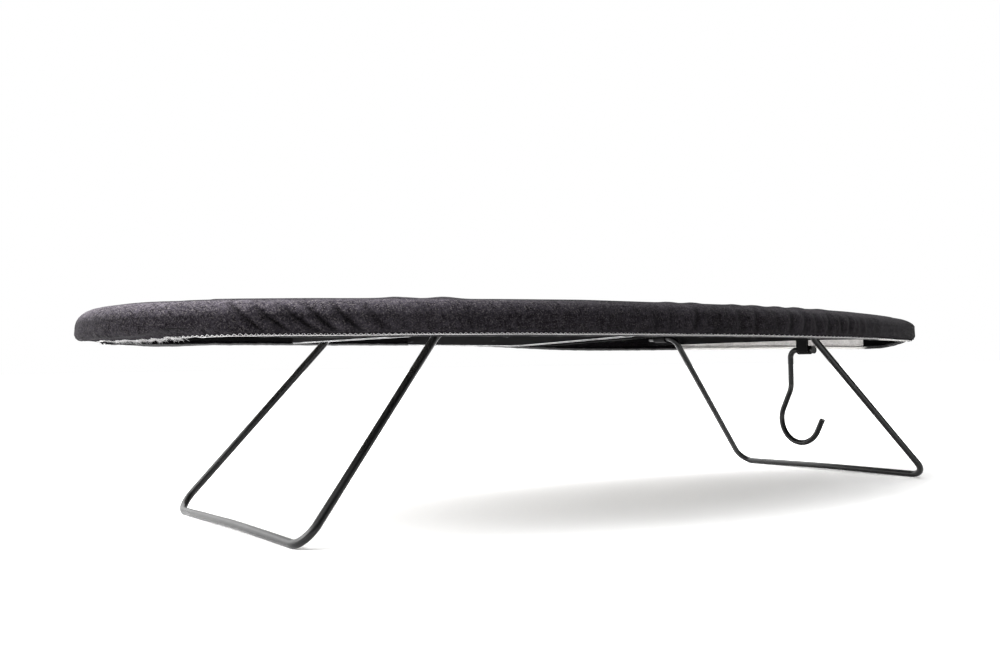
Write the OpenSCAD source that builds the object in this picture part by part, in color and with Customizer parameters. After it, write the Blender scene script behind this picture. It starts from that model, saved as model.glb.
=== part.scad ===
// Tabletop ironing board: a padded steel-mesh top on two folding wire legs,
// with a wire hook that hangs from the right leg's rail.
// Origin: the middle of the board's length and width, on the table.
// +X runs to the narrow nose, +Z up; all sizes in millimetres.

/* [Board] */
// Length of the board over its cover
board_l = 730; // [600:5:900]
// Greatest width over the cover
board_w = 320; // [290:5:380]
// Height of the work surface above the table
board_h = 130; // [115:1:160]
// Radius of the blunt tail end
tail_r = 120; // [90:1:130]
// Radius of the nose tip
nose_r = 36; // [25:1:60]
// Where the board is widest, along X
widest_x = -95; // [-110:1:-40]

/* [Cover and pad] */
// Thickness of the cotton cover
cover_t = 1; // [0.6:0.1:1.5]
// Height of the cover's side, from the hem to the work surface
skirt_h = 19; // [17:1:24]
// Thickness of the wadding
pad_t = 5; // [3:0.5:6]
// Step of the cover's soft shoulder
shoulder = 3; // [1:0.5:3.5]
// Thickness of the elastic band in the hem
elastic_t = 2.4; // [1.5:0.1:2.6]

/* [Frame] */
// Thickness of every pressed sheet part
sheet_t = 1.2; // [0.8:0.1:1.6]
// Width of the rim's inward flange
flange_w = 14; // [12:0.5:18]
// Height of the rim's wall
rim_h = 8; // [5:0.5:8]
// Long pitch of the mesh's diamonds
mesh_pitch_x = 40; // [30:1:60]
// Short pitch of the mesh's diamonds
mesh_pitch_y = 22; // [16:1:32]
// Width of the strands between the diamonds
strand_w = 3; // [2:0.5:5]
// Distance from the work surface down to the left leg rail's lower edge
left_rail_drop = 17.5; // [16.5:0.5:20]
// Distance from the work surface down to the right leg rail's lower edge
right_rail_drop = 19; // [17:0.5:20]
// Half length of the left leg rail
left_rail_half = 144; // [130:1:145]
// How far the left rail's tall flange stops short of the rail's ends
left_flange_cut = 26; // [0:1:28]
// Half length of the right leg rail
right_rail_half = 115; // [108:1:116]
// Where the centre rail crosses, along X
centre_rail_x = -60; // [-80:1:-45]
// Width of the centre rail
centre_rail_w = 24; // [18:1:30]
// Half length of the centre rail
centre_rail_half = 153; // [140:1:154]

/* [Legs] */
// Diameter of the leg wire
leg_d = 5; // [4:0.1:5.4]
// Pivot of the left leg, along X
left_pivot_x = -180; // [-200:1:-160]
// Angle between the left leg and the table
left_splay = 48.8; // [45:0.1:60]
// Pivot of the right leg, along X
right_pivot_x = 150; // [140:1:155]
// Angle between the right leg and the table
right_splay = 46.2; // [45:0.1:60]
// Width between the side wires at the pivots
leg_top_w = 146; // [130:1:150]
// Width between the side wires at the foot
foot_w = 197; // [170:1:220]
// Length of each straight pivot end, past the side wire
pivot_end = 30; // [26:1:34]
// Bend radius at the pivots
top_bend = 7; // [5:0.5:9]
// Bend radius at the foot corners
foot_bend = 12; // [9:1:16]
// Rise of the foot bar's middle
foot_bow = 1.3; // [0.5:0.1:3]
// Width of each pivot clip
clip_w = 14; // [10:1:15]

/* [Hook] */
// Diameter of the hook wire
hook_d = 4.3; // [3.5:0.1:4.8]
// Y of the hook's shank
shank_y = -43.6; // [-50:0.1:-35]
// Length of the shank, from the axle down to its bend
shank_l = 30; // [24:1:34]
// Centre-line radius of the hook's bowl
bowl_r = 18.5; // [15:0.5:20]
// Slant of the wire between shank and bowl
neck_angle = 27; // [15:1:35]
// Lean of the hook's tip
tip_angle = 28; // [10:1:35]
// Length of the straight tip
tip_l = 10; // [6:1:14]

/* [Hidden] */
$fn = 48;

// Clearances
pin_fit = 0.05;
stop_gap = 0.2;
hole_fit = 0.05;

// Heights, from the work surface down
hem_z = board_h - skirt_h;
pad_top = board_h - cover_t;
deck_top = pad_top - pad_t;
flange_top = deck_top - sheet_t;
rail_top = flange_top - sheet_t;
clip_top = rail_top - sheet_t;
leg_r = leg_d / 2;
pivot_z = clip_top - sheet_t - pin_fit - leg_r;
left_rail_low = board_h - left_rail_drop;
right_rail_low = board_h - right_rail_drop;
rim_gap = 1.5;
rim_inner = rim_gap + sheet_t;

// The plan outline: tail circle, two side arcs that meet at the widest point, nose circle
half_w = board_w / 2;
tail_x = -board_l / 2 + tail_r;
nose_x = board_l / 2 - nose_r;
function side_radius(reach, end_r) =
  (reach * reach + half_w * half_w - end_r * end_r) / (2 * (half_w - end_r));
tail_side_r = side_radius(widest_x - tail_x, tail_r);
nose_side_r = side_radius(nose_x - widest_x, nose_r);
tail_join = atan2(tail_side_r - half_w, tail_x - widest_x);
nose_join = atan2(nose_side_r - half_w, nose_x - widest_x);

function arc(centre, r, from, to, steps) =
  [for (i = [0:steps - 1]) let (a = from + (to - from) * i / steps) centre + r * [cos(a), sin(a)]];
function half_outline(inset) = concat(
  arc([tail_x, 0], tail_r - inset, 180, tail_join, 10),
  arc([widest_x, half_w - tail_side_r], tail_side_r - inset, tail_join, 90, 6),
  arc([widest_x, half_w - nose_side_r], nose_side_r - inset, 90, nose_join, 10),
  arc([nose_x, 0], nose_r - inset, nose_join, 0, 6)
);
function mirrored(points) = [for (i = [len(points) - 1:-1:1]) [points[i].x, -points[i].y]];
function outline(inset) =
  concat(half_outline(inset), [[nose_x + nose_r - inset, 0]], mirrored(half_outline(inset)));
// Half width of the outline at x
function side_y(x, r) = half_w - r + sqrt(r * r - pow(x - widest_x, 2));
function end_y(x, centre_x, r) = sqrt(max(0, r * r - pow(x - centre_x, 2)));
function width_at(x) =
  x < tail_x + tail_r * cos(tail_join) ? end_y(x, tail_x, tail_r) :
  x < widest_x ? side_y(x, tail_side_r) :
  x < nose_x + nose_r * cos(nose_join) ? side_y(x, nose_side_r) : end_y(x, nose_x, nose_r);

module slab(inset, z0, z1) {
  translate([0, 0, z0]) linear_extrude(z1 - z0) polygon(outline(inset));
}

module ring(outer, inner, z0, z1) {
  translate([0, 0, z0]) linear_extrude(z1 - z0) difference() {
    polygon(outline(outer));
    polygon(outline(inner));
  }
}

// A round wire in the XY plane through a list of points, with a bend radius at each inner point
function unit(v) = v / norm(v);
function heading(v) = atan2(v.y, v.x);
function half_corner(a, b, c) = acos(unit(a - b) * unit(c - b)) / 2;
function bend_centre(a, b, c, r) = b + unit(unit(a - b) + unit(c - b)) * r / sin(half_corner(a, b, c));
function setback(a, b, c, r) = r / tan(half_corner(a, b, c));
function cross_z(u, v) = u.x * v.y - u.y * v.x;

// Runs and bends meet inside a hair-thick sleeve, which makes them one solid
sleeve_t = 0.01;
sleeve_l = 0.3;
joint_gap = 0.05;

module wire_run(from, to, r, trim_from = joint_gap, trim_to = joint_gap) {
  along = unit(to - from);
  start = from + along * trim_from;
  translate([start.x, start.y, 0]) rotate([0, 0, heading(along)]) rotate([0, 90, 0])
    cylinder(r = r, h = norm(to - from) - trim_from - trim_to);
}

module wire_joint(at, along, r) {
  translate([at.x, at.y, 0]) rotate([0, 0, heading(along)]) rotate([0, 90, 0])
    cylinder(r = r + sleeve_t, h = sleeve_l, center = true);
}

module wire_arc(centre, bend_r, start, turn, r) {
  translate([centre.x, centre.y, 0]) rotate([0, 0, start])
    rotate_extrude(angle = turn) translate([bend_r, 0]) circle(r = r);
}

module wire_bend(a, b, c, bend_r, r) {
  left_turn = cross_z(b - a, c - b) > 0;
  start = heading(b - a) + (left_turn ? -90 : 90);
  turn = 180 - 2 * half_corner(a, b, c);
  trim = setback(a, b, c, bend_r);
  wire_arc(bend_centre(a, b, c, bend_r), bend_r, left_turn ? start : start - turn, turn, r);
  wire_joint(b - unit(b - a) * trim, b - a, r);
  wire_joint(b + unit(c - b) * trim, c - b, r);
}

module bent_wire(points, bends, r, last_trim = 0) {
  last = len(points) - 1;
  trims = [for (i = [0:last])
    i == 0 ? 0 : i == last ? last_trim :
    joint_gap + setback(points[i - 1], points[i], points[i + 1], bends[i])];
  for (i = [0:last - 1]) wire_run(points[i], points[i + 1], r, trims[i], trims[i + 1]);
  for (i = [1:last - 1]) wire_bend(points[i - 1], points[i], points[i + 1], bends[i], r);
}

// Legs: a planar U whose ends turn outward along the pivot axis
foot_bow_r = 1500;
function leg_reach(splay) = (pivot_z - leg_r) / sin(splay);
function leg_points(foot_v) = [
  [-leg_top_w / 2 - pivot_end, 0], [-leg_top_w / 2, 0], [-foot_w / 2, foot_v],
  [0, foot_v - foot_bow],
  [foot_w / 2, foot_v], [leg_top_w / 2, 0], [leg_top_w / 2 + pivot_end, 0]
];
leg_bends = [0, top_bend, foot_bend, foot_bow_r, foot_bend, top_bend, 0];
// How far the rounded foot corner falls short of its sharp corner
function corner_loss(p) = p[2].y - bend_centre(p[1], p[2], p[3], foot_bend).y - foot_bend;

module wire_leg(pivot_x, splay, side) {
  reach = leg_reach(splay);
  foot_v = reach + corner_loss(leg_points(reach));
  translate([pivot_x, 0, pivot_z]) mirror([side < 0 ? 1 : 0, 0, 0]) rotate([0, splay, 0])
    rotate([0, 0, -90]) bent_wire(leg_points(foot_v), leg_bends, leg_r);
}

// Leg rails: an angle whose tall flange is the stop that the splayed leg leans on
rail_inner_w = 17;
function stop_x(splay, low) = (leg_r + stop_gap + (pivot_z - low) * cos(splay)) / sin(splay);
rivet_r = 1.6;
rivet_head_r = 2.7;
rivet_head_h = 1;
end_rivet_in = 5;
end_rivet_pitch = 10;
// How far the end rivets sit inboard of the leg's pivot
end_rivet_shift = 5;

module rivet(head_z, shank_h) {
  translate([0, 0, head_z - rivet_head_h]) cylinder(r = rivet_head_r, h = rivet_head_h);
  translate([0, 0, head_z]) cylinder(r = rivet_r, h = shank_h);
}

module rivet_hole() {
  cylinder(r = rivet_r + hole_fit, h = 4 * sheet_t, center = true);
}

// Rivet places at a rail's two ends, about the rail's own middle line
function end_rivets(x, half_l) =
  [for (s = [-1, 1], d = [-0.5, 0.5]) [x + d * end_rivet_pitch, s * (half_l - end_rivet_in)]];
left_end_rivets = end_rivets(left_pivot_x + end_rivet_shift, left_rail_half);
right_end_rivets = end_rivets(right_pivot_x - end_rivet_shift, right_rail_half);
centre_end_rivets = end_rivets(centre_rail_x, centre_rail_half);

// Clip places: middle of each clip along the pivot axis, and its rivets
clip_clear = 2;
clip_y = leg_top_w / 2 + top_bend + clip_clear + clip_w / 2;
clip_rivet_in = 10;
clip_rivet_pitch = 7;
// Sheet left beyond a rivet's middle at the end of a clip's tab
tab_margin = 4.5;
function clip_rivets_at(pivot_x, side) =
  [for (s = [-1, 1], d = [-0.5, 0.5]) [pivot_x - side * clip_rivet_in, s * clip_y + d * clip_rivet_pitch]];
left_clip_rivets = clip_rivets_at(left_pivot_x, -1);
right_clip_rivets = clip_rivets_at(right_pivot_x, 1);

// Hook clip: a loop below the right rail's flange
hook_r = hook_d / 2;
right_stop_x = right_pivot_x + stop_x(right_splay, right_rail_low);
hook_face_x = right_stop_x + sheet_t;
hook_x = hook_face_x + sheet_t + pin_fit + hook_r;
hook_axle_drop = 7.5;
hook_z = right_rail_low - hook_axle_drop;
hook_clip_reach = 14;
hook_clip_y = shank_y - hook_clip_reach;
hook_clip_w = 11;
hook_rivet_rise = 3.5;
hook_rivet_z = right_rail_low + hook_rivet_rise;
hook_rivet_pitch = 6;

module leg_rail(pivot_x, stop, low, side, half_l, flange_half, end_holes, clip_holes) {
  difference() {
    translate([pivot_x, 0, 0]) mirror([side < 0 ? 1 : 0, 0, 0]) {
      translate([-rail_inner_w, -half_l, clip_top])
        cube([rail_inner_w + stop + sheet_t, 2 * half_l, sheet_t]);
      translate([stop, -flange_half, low])
        cube([sheet_t, 2 * flange_half, clip_top + sheet_t - low]);
    }
    for (p = concat(end_holes, clip_holes)) translate([p.x, p.y, clip_top]) rivet_hole();
  }
}

module left_leg_rail() {
  color("#26272a") leg_rail(left_pivot_x, stop_x(left_splay, left_rail_low), left_rail_low, -1,
    left_rail_half, left_rail_half - left_flange_cut, left_end_rivets, left_clip_rivets);
}

module hook_rivet_places() {
  for (d = [-0.5, 0.5])
    translate([hook_face_x, hook_clip_y + d * hook_rivet_pitch, hook_rivet_z])
      rotate([0, 90, 0]) children();
}

module right_leg_rail() {
  color("#26272a") difference() {
    leg_rail(right_pivot_x, stop_x(right_splay, right_rail_low), right_rail_low, 1,
      right_rail_half, right_rail_half, right_end_rivets, right_clip_rivets);
    hook_rivet_places() rivet_hole();
  }
}

// Centre rail: a channel whose flanges are deepest at the middle
centre_drop_mid = 22;
centre_drop_end = 18;
centre_flat = 10;

module centre_flange(x) {
  low = board_h - centre_drop_mid;
  high = board_h - centre_drop_end;
  translate([x, 0, 0]) rotate([90, 0, 90]) linear_extrude(sheet_t) polygon([
    [-centre_rail_half, rail_top], [-centre_rail_half, high], [-centre_flat, low],
    [centre_flat, low], [centre_rail_half, high], [centre_rail_half, rail_top]
  ]);
}

module centre_rail() {
  left_x = centre_rail_x - centre_rail_w / 2;
  color("#26272a") difference() {
    union() {
      translate([left_x, -centre_rail_half, clip_top])
        cube([centre_rail_w, 2 * centre_rail_half, sheet_t]);
      centre_flange(left_x);
      centre_flange(left_x + centre_rail_w - sheet_t);
    }
    for (p = centre_end_rivets) translate([p.x, p.y, clip_top]) rivet_hole();
  }
}

module rim_frame() {
  color("#1d1e20") difference() {
    union() {
      ring(rim_gap, rim_gap + flange_w, rail_top, flange_top);
      ring(rim_gap, rim_inner, flange_top - rim_h, flange_top);
    }
    for (p = concat(left_end_rivets, right_end_rivets, centre_end_rivets))
      translate([p.x, p.y, rail_top]) rivet_hole();
  }
}

// Mesh deck: a sheet of diamond openings, inside the rim's flange
deck_overlap = 2;

module diamond() {
  half_x = (mesh_pitch_x - strand_w * 2) / 2;
  half_y = (mesh_pitch_y - strand_w) / 2;
  polygon([[half_x, 0], [0, half_y], [-half_x, 0], [0, -half_y]]);
}

module mesh_deck() {
  edge = rim_gap + flange_w - deck_overlap;
  rows = floor(half_w / (mesh_pitch_y / 2));
  columns = floor(board_l / 2 / mesh_pitch_x);
  color("#2b2c2f") translate([0, 0, flange_top]) linear_extrude(sheet_t) difference() {
    polygon(outline(rim_gap));
    for (row = [-rows:rows], column = [-columns - 1:columns]) {
      x = (column + (row % 2 == 0 ? 0 : 0.5)) * mesh_pitch_x;
      y = row * mesh_pitch_y / 2;
      reach_y = abs(y) + mesh_pitch_y / 2 + edge;
      if (abs(x) + mesh_pitch_x / 2 + edge < board_l / 2)
        if (reach_y < min(width_at(x - mesh_pitch_x / 4), width_at(x + mesh_pitch_x / 4)))
          translate([x, y]) diamond();
    }
  }
}

module rail_rivets(places) {
  color("#3a3b3e") for (p = places) translate([p.x, p.y, 0]) rivet(clip_top, 2 * sheet_t);
}

// Pivot clip: a loop round the leg's end with a tab that is riveted up to the rail
module pivot_clip(pivot_x, side, y) {
  tab = clip_rivet_in + tab_margin;
  color("#303134") translate([pivot_x, y, 0]) difference() {
    union() {
      translate([0, clip_w / 2, pivot_z]) rotate([90, 0, 0])
        cylinder(r = leg_r + pin_fit + sheet_t, h = clip_w);
      translate([side > 0 ? -tab : 0, -clip_w / 2, clip_top - sheet_t])
        cube([tab, clip_w, sheet_t]);
    }
    translate([0, clip_w, pivot_z]) rotate([90, 0, 0]) cylinder(r = leg_r + pin_fit, h = 2 * clip_w);
    for (d = [-0.5, 0.5])
      translate([-side * clip_rivet_in, d * clip_rivet_pitch, clip_top - sheet_t]) rivet_hole();
  }
}

module clip_rivets() {
  color("#3a3b3e") for (p = concat(left_clip_rivets, right_clip_rivets))
    translate([p.x, p.y, 0]) rivet(clip_top - sheet_t, 2 * sheet_t);
}

module left_leg() {
  color("#17181a") wire_leg(left_pivot_x, left_splay, -1);
}

module right_leg() {
  color("#17181a") wire_leg(right_pivot_x, right_splay, 1);
}

// Hook: one wire in a plane across the board; its axle runs along Y
axle_past_clip = 2.5;
axle_end_y = hook_clip_y - hook_clip_w / 2 - axle_past_clip;
hook_bend = 6;
neck_bend = 14;
peen_h = 1.2;
peen_proud = 0.8;
neck_top = -shank_l;
bowl_left_y = bowl_r * cos(neck_angle);
neck_rise = 15.6;
bowl_y = neck_rise * tan(neck_angle) - bowl_left_y;
bowl_z = neck_top - neck_rise - bowl_r * sin(neck_angle);
bowl_entry = [bowl_y + bowl_left_y, bowl_z + bowl_r * sin(neck_angle)];
bowl_exit = [bowl_y - bowl_r * cos(tip_angle), bowl_z - bowl_r * sin(tip_angle)];

// Drawn about the shank's top: first coordinate along Y, second along Z
module hook_shape() {
  tip_along = [-sin(tip_angle), cos(tip_angle)];
  bent_wire([[axle_end_y - shank_y, 0], [0, 0], [0, neck_top], bowl_entry],
    [0, hook_bend, neck_bend, 0], hook_r, joint_gap);
  wire_joint(bowl_entry, bowl_entry - [0, neck_top], hook_r);
  wire_arc([bowl_y, bowl_z], bowl_r, 180 + tip_angle, 180 - tip_angle + neck_angle, hook_r);
  wire_joint(bowl_exit, tip_along, hook_r);
  wire_run(bowl_exit, bowl_exit + tip_l * tip_along, hook_r, joint_gap, 0);
  // peened end that keeps the axle in its clip
  translate([axle_end_y - shank_y - peen_h, 0, 0]) rotate([0, 90, 0])
    cylinder(r = hook_r + peen_proud, h = peen_h);
}

module hanging_hook() {
  color("#141516") translate([hook_x, shank_y, hook_z]) rotate([90, 0, 90]) hook_shape();
}

module hook_clip() {
  tab_top = hook_rivet_z + tab_margin;
  color("#303134") difference() {
    union() {
      translate([hook_x, hook_clip_y + hook_clip_w / 2, hook_z]) rotate([90, 0, 0])
        cylinder(r = hook_r + pin_fit + sheet_t, h = hook_clip_w);
      translate([hook_face_x, hook_clip_y - hook_clip_w / 2, hook_z])
        cube([sheet_t, hook_clip_w, tab_top - hook_z]);
    }
    translate([hook_x, hook_clip_y + hook_clip_w, hook_z]) rotate([90, 0, 0])
      cylinder(r = hook_r + pin_fit, h = 2 * hook_clip_w);
    hook_rivet_places() rivet_hole();
  }
}

module hook_clip_rivets() {
  color("#3a3b3e") hook_rivet_places() {
    translate([0, 0, -sheet_t]) cylinder(r = rivet_r, h = 2 * sheet_t);
    translate([0, 0, sheet_t]) cylinder(r = rivet_head_r, h = rivet_head_h);
  }
}

// Soft parts
shoulder_z = pad_top - shoulder;
pad_gap = 0.3;
elastic_gap = 0.2;
fold_w = elastic_t + 2 * (cover_t + elastic_gap);
fold_h = 4;
elastic_h = 2.4;

module wadding_pad() {
  color("#d9d6cf") {
    slab(cover_t + pad_gap, deck_top, shoulder_z);
    slab(cover_t + shoulder, shoulder_z, pad_top);
  }
}

module cover() {
  color("#2c2d30") {
    difference() {
      slab(0, hem_z, shoulder_z + cover_t);
      slab(cover_t, hem_z - 1, shoulder_z);
      slab(cover_t + shoulder, shoulder_z - 1, shoulder_z + cover_t + 1);
    }
    ring(shoulder, shoulder + cover_t, shoulder_z + cover_t, pad_top);
    slab(shoulder, pad_top, board_h);
    ring(cover_t, fold_w, hem_z, hem_z + cover_t);
    ring(fold_w - cover_t, fold_w, hem_z + cover_t, hem_z + fold_h);
  }
}

module hem_elastic() {
  inset = cover_t + elastic_gap;
  color("#e6e4de") ring(inset, inset + elastic_t, hem_z + cover_t, hem_z + cover_t + elastic_h);
}

rim_frame();
mesh_deck();
left_leg_rail();
centre_rail();
right_leg_rail();
rail_rivets(left_end_rivets);  // left_rail_rivets
rail_rivets(centre_end_rivets);  // centre_rail_rivets
rail_rivets(right_end_rivets);  // right_rail_rivets
pivot_clip(left_pivot_x, -1, -clip_y);  // left_near_pivot_clip
pivot_clip(left_pivot_x, -1, clip_y);  // left_far_pivot_clip
pivot_clip(right_pivot_x, 1, -clip_y);  // right_near_pivot_clip
pivot_clip(right_pivot_x, 1, clip_y);  // right_far_pivot_clip
clip_rivets();
left_leg();
right_leg();
hanging_hook();
hook_clip();
hook_clip_rivets();
wadding_pad();
cover();
hem_elastic();
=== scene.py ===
"""Looks of the tabletop ironing board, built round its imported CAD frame."""
import math

import bpy
import numpy as np
from mathutils import Matrix, Vector, noise


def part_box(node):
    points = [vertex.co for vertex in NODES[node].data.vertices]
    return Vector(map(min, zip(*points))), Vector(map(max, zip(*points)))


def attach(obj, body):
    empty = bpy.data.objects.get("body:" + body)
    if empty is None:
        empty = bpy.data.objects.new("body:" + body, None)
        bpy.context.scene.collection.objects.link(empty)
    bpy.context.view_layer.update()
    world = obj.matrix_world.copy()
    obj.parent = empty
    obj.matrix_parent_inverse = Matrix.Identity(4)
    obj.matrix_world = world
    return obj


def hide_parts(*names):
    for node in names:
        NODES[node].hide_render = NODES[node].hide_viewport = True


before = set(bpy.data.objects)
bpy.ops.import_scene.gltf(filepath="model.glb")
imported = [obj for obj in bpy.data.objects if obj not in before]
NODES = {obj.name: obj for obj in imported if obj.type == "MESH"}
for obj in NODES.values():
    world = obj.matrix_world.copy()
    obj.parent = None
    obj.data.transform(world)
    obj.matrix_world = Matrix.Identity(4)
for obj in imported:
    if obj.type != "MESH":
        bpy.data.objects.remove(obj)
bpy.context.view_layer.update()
MM = 0.001

# ---------------------------------------------------------------- the board's plan outline
# The same four tangent arcs as the CAD: tail circle, two side arcs, nose circle
TAIL_R = 120 * MM
NOSE_R = 36 * MM
WIDEST_X = -95 * MM
COVER_LOW, COVER_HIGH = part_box("cover")
HALF_L = COVER_HIGH[0]
HALF_W = COVER_HIGH[1]
TOP_Z = COVER_HIGH[2]
HEM_Z = COVER_LOW[2]
TAIL_X = -HALF_L + TAIL_R
NOSE_X = HALF_L - NOSE_R
# The hem is turned, and its inside is black painted shade, but for the stretch of X where the pale reverse
# shows.
# The stretch ends sooner on the near side, where the nose is turned under.
PALE_INSIDE = (187 * MM, 352 * MM)
PALE_NEAR_END = 298 * MM


def ease(x):
    """Smooth step from 0 to 1."""
    x = np.clip(x, 0, 1)
    return x * x * (3 - 2 * x)


def side_radius(reach, end_r):
    """Radius of the side arc that touches the widest line and an end circle this far along X."""
    return (reach * reach + HALF_W * HALF_W - end_r * end_r) / (2 * (HALF_W - end_r))


TAIL_SIDE_R = side_radius(WIDEST_X - TAIL_X, TAIL_R)
NOSE_SIDE_R = side_radius(NOSE_X - WIDEST_X, NOSE_R)


def arc(centre, radius, start, end, steps=400):
    """Points and outward directions along an arc; angles in radians."""
    a = np.linspace(start, end, steps, endpoint=False)
    out = np.stack([np.cos(a), np.sin(a)], 1)
    return np.array(centre) + radius * out, out


def outline(count):
    """count points spaced evenly round the outline from the nose tip, and their outward directions."""
    tail_join = math.atan2(TAIL_SIDE_R - HALF_W, TAIL_X - WIDEST_X)
    nose_join = math.atan2(NOSE_SIDE_R - HALF_W, NOSE_X - WIDEST_X)
    arcs = [
        arc((NOSE_X, 0), NOSE_R, 0, nose_join),
        arc((WIDEST_X, HALF_W - NOSE_SIDE_R), NOSE_SIDE_R, nose_join, math.pi / 2),
        arc((WIDEST_X, HALF_W - TAIL_SIDE_R), TAIL_SIDE_R, math.pi / 2, tail_join),
        arc((TAIL_X, 0), TAIL_R, tail_join, math.pi),
    ]
    far, far_out = (np.concatenate([a[i] for a in arcs]) for i in (0, 1))
    tail_tip = np.array([[-HALF_L, 0]])
    flip = np.array([1, -1])
    points = np.concatenate([far, tail_tip, (far * flip)[::-1]])
    outs = np.concatenate([far_out, [[-1, 0]], (far_out * flip)[::-1]])
    run = np.concatenate([[0], np.cumsum(np.linalg.norm(np.diff(points, axis=0), axis=1))])
    at = np.linspace(0, run[-1], count, endpoint=False)
    even = np.stack([np.interp(at, run, points[:, k]) for k in (0, 1)], 1)
    out = np.stack([np.interp(at, run, outs[:, k]) for k in (0, 1)], 1)
    return even, out / np.linalg.norm(out, axis=1)[:, None], run[-1]


# ---------------------------------------------------------------- mesh and material helpers
def new_object(name, verts, faces, smooth=True):
    """A mesh object from its points and faces."""
    mesh = bpy.data.meshes.new(name)
    mesh.from_pydata([tuple(v) for v in verts], [], faces)
    mesh.validate()
    obj = bpy.data.objects.new(name, mesh)
    bpy.context.scene.collection.objects.link(obj)
    if smooth:
        mesh.shade_smooth()
    return obj


def set_materials(obj, *materials):
    obj.data.materials.clear()
    for m in materials:
        obj.data.materials.append(m)


def ring_faces(rings, sides, base=0, closed=False):
    """Faces round a run of rings of points, the first of which starts at point base."""
    faces = []
    for i in range(rings if closed else rings - 1):
        here, there = base + i * sides, base + (i + 1) % rings * sides
        for k in range(sides):
            n = (k + 1) % sides
            faces.append((here + k, here + n, there + n, there + k))
    return faces


def tube(name, path, radius, sides, closed=False):
    """A round tube along a path, with its sides turned as little as possible from ring to ring."""
    path = np.array(path, float)
    if closed:
        ahead = np.roll(path, -1, 0) - np.roll(path, 1, 0)
    else:
        ahead = np.gradient(path, axis=0)
    ahead /= np.linalg.norm(ahead, axis=1)[:, None]
    first = np.cross(ahead[0], (0, 0, 1) if abs(ahead[0][2]) < 0.9 else (1, 0, 0))
    first /= np.linalg.norm(first)
    angles = np.arange(sides) * 2 * math.pi / sides
    verts, across = [], first
    for p, t in zip(path, ahead):
        across = across - t * across.dot(t)
        across /= np.linalg.norm(across)
        up = np.cross(t, across)
        for a in angles:
            verts.append(p + radius * (math.cos(a) * across + math.sin(a) * up))
    rings = len(path)
    faces = ring_faces(rings, sides, closed=closed)
    if not closed:
        faces.append(tuple(range(sides))[::-1])
        faces.append(tuple((rings - 1) * sides + k for k in range(sides)))
    return new_object(name, verts, faces)


# The colour sockets of a Mix node, by number
MIX_FACTOR, MIX_A, MIX_B, MIX_RESULT = 0, 6, 7, 2


class Shader:
    """A short way to build one node material round a Principled shader."""

    def __init__(self, name, color, roughness, **sockets):
        self.mat = bpy.data.materials.new(name)
        self.mat.use_nodes = True
        self.tree = self.mat.node_tree
        self.bsdf = self.tree.nodes["Principled BSDF"]
        self.bsdf.inputs["Base Color"].default_value = (*color, 1)
        self.bsdf.inputs["Roughness"].default_value = roughness
        for socket, value in sockets.items():
            self.bsdf.inputs[socket.replace("_", " ").title().replace("Ior", "IOR")].default_value = value

    def add(self, kind, **settings):
        node = self.tree.nodes.new("ShaderNode" + kind)
        for key, value in settings.items():
            setattr(node, key, value)
        return node

    def link(self, source, target):
        self.tree.links.new(source, target)

    def feed(self, node, values):
        """Sets or links a node's inputs, given by name or number."""
        for key, value in values.items():
            if isinstance(value, bpy.types.NodeSocket):
                self.link(value, node.inputs[key])
            else:
                node.inputs[key].default_value = value
        return node.outputs[0]

    def math(self, operation, a, b=0.0):
        return self.feed(self.add("Math", operation=operation), {0: a, 1: b})

    def noise(self, vector, scale, detail=2.0, rough=0.5):
        values = {"Vector": vector, "Scale": scale, "Detail": detail, "Roughness": rough}
        return self.feed(self.add("TexNoise"), values)

    def scaled(self, vector, scale):
        return self.feed(self.add("Mapping"), {"Vector": vector, "Scale": scale})

    def between(self, value, low, high, to_low=0.0, to_high=1.0):
        """Maps low to to_low and high to to_high, and holds those values beyond."""
        values = {"Value": value, "From Min": low, "From Max": high, "To Min": to_low, "To Max": to_high}
        return self.feed(self.add("MapRange"), values)

    def mix(self, factor, a, b):
        """Colour a where the factor is 0 and colour b where it is 1."""
        node = self.add("Mix", data_type="RGBA")
        a, b = (c if isinstance(c, bpy.types.NodeSocket) else (*c, 1) for c in (a, b))
        self.feed(node, {MIX_FACTOR: factor, MIX_A: a, MIX_B: b})
        return node.outputs[MIX_RESULT]

    def times(self, color, factor):
        return self.feed(self.add("VectorMath", operation="SCALE"), {"Vector": color, "Scale": factor})

    def parts(self, vector):
        """A vector's X, Y and Z."""
        node = self.add("SeparateXYZ")
        self.link(vector, node.inputs[0])
        return tuple(node.outputs)

    def object_point(self):
        return self.add("TexCoord").outputs["Object"]

    def uv(self):
        return self.add("TexCoord").outputs["UV"]

    def bump(self, height, distance, strength=1.0, under=None):
        node = self.add("Bump")
        node.inputs["Distance"].default_value = distance
        node.inputs["Strength"].default_value = strength
        self.link(height, node.inputs["Height"])
        if under is not None:
            self.link(under, node.inputs["Normal"])
        return node.outputs[0]

    def finish(self, color=None, roughness=None, normal=None):
        for socket, value in (("Base Color", color), ("Roughness", roughness), ("Normal", normal)):
            if value is not None:
                self.link(value, self.bsdf.inputs[socket])
        return self.mat


WEAVE_PITCH = 0.75 * MM
# How much paler painted light makes the cotton at the tail, and where its top shoulder meets the tail
TAIL_PAINTED_LIGHT = 0.4
TAIL_TOP_PAINTED_LIGHT = 5.0


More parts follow.
